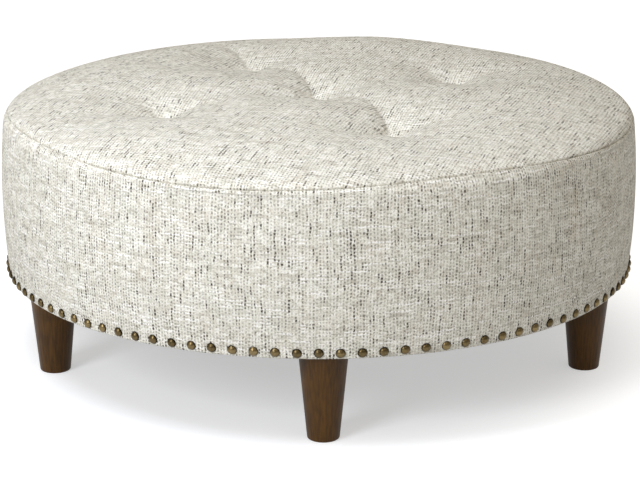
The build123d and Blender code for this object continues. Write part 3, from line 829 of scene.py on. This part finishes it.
def face_up(bm):
    """Turns a flat-lying mesh so that its faces look up, with the normals of its points."""
    bm.normal_update()
    if sum(face.normal.z for face in bm.faces) < 0:
        bmesh.ops.reverse_faces(bm, faces=bm.faces)
        bm.normal_update()


panel_rings = 108
rim_steps = [-step for step in seam_steps[1:]]
inner_rings = panel_rings - len(rim_steps) - 2
warp_turn = math.radians(71.3)

# Crown, seam and allowance in one disc. The weave is laid on it flat, by the run from the middle.
bm, places = disc_grid(panel_rings)
flat_run = lip_radius + bend_length(0.0)[1]
flat_places = []
for vert, (ring, turn) in zip(bm.verts, places):
    if ring <= inner_rings:
        share = ring / inner_rings
        vert.co = panel_place(share, turn)
        run = share * flat_run
    elif ring <= inner_rings + len(rim_steps):
        radius, height = seam_point(turn, rim_steps[ring - inner_rings - 1])
        vert.co = round_place(radius, turn, height)
        run = flat_run + seam_steps[0] + rim_steps[ring - inner_rings - 1]
    else:
        inward = (1.5 * MM, 3.5 * MM)[ring - inner_rings - len(rim_steps) - 1]
        radius, height = seam_point(turn, -0.3 * inward, inward)
        vert.co = round_place(radius, turn, height)
        run = flat_run + seam_steps[0] + inward
    flat_places.append((run * math.sin(warp_turn - turn), run * math.cos(warp_turn - turn)))
bm.verts.index_update()
cloth_uv = bm.loops.layers.uv.new("cloth")
for face in bm.faces:
    for loop in face.loops:
        loop[cloth_uv].uv = flat_places[loop.vert.index]
face_up(bm)
panel = finished("top_panel", bm, tweed)
thicken(panel, cloth_thickness)
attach(panel, "root")
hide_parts("top_cover")

# Top batting: a bonded polyester layer under the top panel, closed all round, which takes its form.
batting_tones = ((0.0, "#D9D9D6"), (1.0, "#F2F2F0"))
bonded_fibre = mottled("bonded_polyester_fibre", 4.0, 6.0, batting_tones, 0.95, 0.5, 1.0)[0]


def layer_below(reach, depth):
    """The panel's form, over a share of its reach, laid some millimetres below it."""
    rings = 56
    bm, places = disc_grid(rings)
    for vert, (ring, turn) in zip(bm.verts, places):
        vert.co = panel_place(ring / rings * reach, turn)
    face_up(bm)
    for vert in bm.verts:
        vert.co -= vert.normal * depth * MM
    return bm


batting = finished("top_batting_layer", layer_below(0.985, 2.2), bonded_fibre)
thicken(batting, 9.0 * MM)
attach(batting, "root")
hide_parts("top_batting")

# Foam core: a crowned slab of cut foam on the deck, hollowed at each tuft down to the bored hole that
# its twine runs through.
cut_foam, shader = new_material("polyurethane_foam")
place = put(cut_foam, "ShaderNodeTexCoord")
cells = put(cut_foam, "ShaderNodeTexVoronoi", Vector=place.outputs["Object"], Scale=1 / (1.2 * MM))
tones = put(cut_foam, "ShaderNodeValToRGB", {"stops": ((0.0, "#D8C68E"), (1.0, "#EFE3B8"))},
            Fac=cells.outputs["Distance"])
wire(tones, shader, "Base Color")
shader.inputs["Roughness"].default_value = 0.95
open_cells = put(cut_foam, "ShaderNodeBump", Strength=0.4, Distance=0.4 * MM,
                 Height=cells.outputs["Distance"])
wire(open_cells, shader, "Normal")
deck_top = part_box("foam_core")[0][2]
foam_radius, bore_radius = wall_radius - 14.5 * MM, 11.0 * MM
bm = layer_below(0.97, 14.0)
for vert in bm.verts:
    if min((vert.co.to_2d() - tuft).length for tuft in tufts) < bore_radius:
        vert.co.z = deck_top + 3.0 * MM
edge = [side for side in bm.edges if side.is_boundary]
for drop in (wall_top - 10.0 * MM, (wall_top + deck_top) / 2, deck_top):
    grown = bmesh.ops.extrude_edge_only(bm, edges=edge)["geom"]
    edge = [side for side in grown if isinstance(side, bmesh.types.BMEdge) and side.is_boundary]
    for vert in {vert for side in edge for vert in side.verts}:
        vert.co = round_place(foam_radius, math.atan2(vert.co.y, vert.co.x), drop)
bmesh.ops.holes_fill(bm, edges=edge, sides=0)
bmesh.ops.recalc_face_normals(bm, faces=bm.faces)
core = finished("foam_slab", bm, cut_foam)
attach(core, "root")
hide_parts("foam_core")

# Wall padding: polyester fibre like the batting, round the liner board and the foam, full at mid
# height, thin below.
liner_radius = wall_radius - 13.0 * MM + 0.3 * MM
under_cloth, top_width, top_slope, measured_turn = 2.2 * MM, 8.0 * MM, 12.0 * MM, 0.3
padding_rows = [row for row in range(len(wall_rows)) if wall_rows[row][0] in ("nails", "wall", "bend")]
outline = []
for row in padding_rows:
    spot = wall_place(row, measured_turn)
    outline.append((math.hypot(*spot.to_2d()) - under_cloth, min(spot.z, wall_top + 2.0 * MM)))
bm = bmesh.new()
ring_points = [bm.verts.new((radius, 0.0, height)) for radius, height in outline]
inner = [(outline[-1][0] - top_width, outline[-1][1]), (liner_radius, outline[-1][1] - top_slope),
         (liner_radius, outline[0][1])]
ring_points += [bm.verts.new((radius, 0.0, height)) for radius, height in inner]
ring_edges = [bm.edges.new((ring_points[i], ring_points[(i + 1) % len(ring_points)]))
              for i in range(len(ring_points))]
bmesh.ops.spin(bm, geom=ring_points + ring_edges, cent=(0, 0, 0), axis=(0, 0, 1), angle=2 * math.pi,
               steps=180, use_merge=True)
bmesh.ops.recalc_face_normals(bm, faces=bm.faces)
padding = finished("wall_padding_layer", bm, bonded_fibre)
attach(padding, "root")
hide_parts("wall_padding")

# Nails: one row of antiqued brass upholstery nails, domed heads on thin shanks, each driven by hand,
# so that they lean a little and the patina differs from one to the next.
antiqued_brass, shader = new_material("antiqued_brass")
tone = put(antiqued_brass, "ShaderNodeAttribute", {"attribute_name": "tone"})
place = put(antiqued_brass, "ShaderNodeTexCoord")
patina = put(antiqued_brass, "ShaderNodeTexNoise", Vector=place.outputs["Object"], Scale=1 / (3.0 * MM),
             Detail=4.0)
worn = put(antiqued_brass, "MULTIPLY_ADD", i0=patina.outputs["Fac"], i1=0.6,
           i2=tone.outputs["Fac"])
rim = put(antiqued_brass, "ShaderNodeAttribute", {"attribute_name": "rim"})
# Each head is darkened towards its rim: painted shade where the dome turns away from the light, taken off the
# patina tone.
rim_painted_shade = put(antiqued_brass, "ShaderNodeMapRange", {"interpolation_type": "SMOOTHSTEP"}, i0=rim.outputs["Fac"],
            i1=0.45, i2=0.95, i3=0.0, i4=0.6)
patina_less_rim_shade = put(antiqued_brass, "SUBTRACT", i0=worn.outputs[0],
             i1=rim_painted_shade.outputs[0])
tones = put(antiqued_brass, "ShaderNodeValToRGB", {"stops": ((0.0, "#292111"), (0.9, "#847351"))},
            Fac=patina_less_rim_shade.outputs[0])
wire(tones, shader, "Base Color")
shader.inputs["Metallic"].default_value = 1.0
shader.inputs["Roughness"].default_value = 0.36
head_radius, head_dome, shank_radius, shank_length = 7.4 * MM, 5.0 * MM, 0.9 * MM, 16.0 * MM
nail_lean, nail_slack = 7, 4
ball = (head_radius ** 2 + head_dome ** 2) / (2 * head_dome)
reach = math.asin(head_radius / ball)
profile = [(0.0, -shank_length), (shank_radius, -15.0 * MM), (shank_radius, 0.3 * MM),
           (head_radius - 0.5 * MM, 0.0)]
profile += [(ball * math.sin(reach * share), head_dome - ball * (1 - math.cos(reach * share)))
            for share in (1.0, 0.84, 0.66, 0.45, 0.22, 0.0)]
bm = bmesh.new()
points = [bm.verts.new((radius, 0.0, height)) for radius, height in profile]
sides = [bm.edges.new(pair) for pair in zip(points, points[1:])]
bmesh.ops.spin(bm, geom=points + sides, cent=(0, 0, 0), axis=(0, 0, 1), angle=2 * math.pi, steps=16,
               use_merge=True)
bmesh.ops.remove_doubles(bm, verts=bm.verts, dist=1e-6)
bmesh.ops.recalc_face_normals(bm, faces=bm.faces)
one_nail = bpy.data.meshes.new("one_nail")
bm.to_mesh(one_nail)
bm.free()
nail_share = (swell_level - nail_level) / (swell_level - edge_height - edge_round)
seat = wall_radius - (wall_radius - edge_radius) * nail_share ** 2 - 0.1 * MM
dice = random.Random(7)
bm = bmesh.new()
tone_of = bm.verts.layers.float.new("tone")
rim_of = bm.verts.layers.float.new("rim")
for number in range(nail_count):
    turn = nail_start + 2 * math.pi * number / nail_count
    known = len(bm.verts)
    bm.from_mesh(one_nail)
    bm.verts.ensure_lookup_table()
    new = bm.verts[known:]
    lean = math.radians(90 + nail_lean + dice.uniform(-nail_slack, nail_slack))
    swing = turn + math.radians(dice.uniform(-nail_slack, nail_slack))
    aim = Matrix.Rotation(swing, 4, "Z") @ Matrix.Rotation(lean, 4, "Y")
    level = nail_level + dice.uniform(-0.9, 0.1) * MM
    spot = Matrix.Translation(round_place(seat, turn, level))
    patina_tone = dice.uniform(0.0, 0.45)
    for vert in new:
        vert[tone_of] = patina_tone
        vert[rim_of] = 1 - vert.co.z / head_dome
    bmesh.ops.transform(bm, matrix=spot @ aim, verts=new)
nails = finished("nail_trim", bm, antiqued_brass)
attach(nails, "root")
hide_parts("nailheads")

# Dust cover: black spunbond cloth 0.8 mm thick, stapled under the frame, with a hole for each leg's
# bolt. It hangs a few millimetres in the middle, where nothing holds it.
black_tones = ((0.0, "#161616"), (1.0, "#2C2C2C"))
spunbond = mottled("black_spunbond_cloth", 1.5, 4.0, black_tones, 0.9, 0.3, 0.3)[0]
cloth_radius, free_radius, cloth_rings = 484.5 * MM, 392.0 * MM, 60
leg_ring, leg_count, bolt_hole = 442.5, 5, 9.0 * MM
bm, places = disc_grid(cloth_rings)
for vert, (ring, turn) in zip(bm.verts, places):
    radius = cloth_radius * ring / cloth_rings
    inside = max(0.0, 1 - (radius / free_radius) ** 2)
    sag = 4.0 * MM * inside ** 2 * (1 + 0.3 * math.cos(5 * turn + 0.8) * radius / free_radius)
    vert.co = round_place(radius, turn, edge_height - sag)
leg_turns = [-math.pi / 2 + 2 * math.pi * number / leg_count for number in range(leg_count)]
holes = [Vector((math.cos(turn), math.sin(turn))) * leg_ring * MM for turn in leg_turns]
cut = [face for face in bm.faces
       if min((face.calc_center_median().to_2d() - hole).length for hole in holes) < bolt_hole]
bmesh.ops.delete(bm, geom=cut, context="FACES")
face_up(bm)
dust = finished("dust_cloth", bm, spunbond)
thicken(dust, 0.8 * MM)
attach(dust, "root")
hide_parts("dust_cover")

# Staples: zinc plated wire staples, driven through the turned-under margin of the wall band and round
# the edge of the dust cover.
dress(zinc_plated_steel, "cover_staples", "dust_cover_staples")
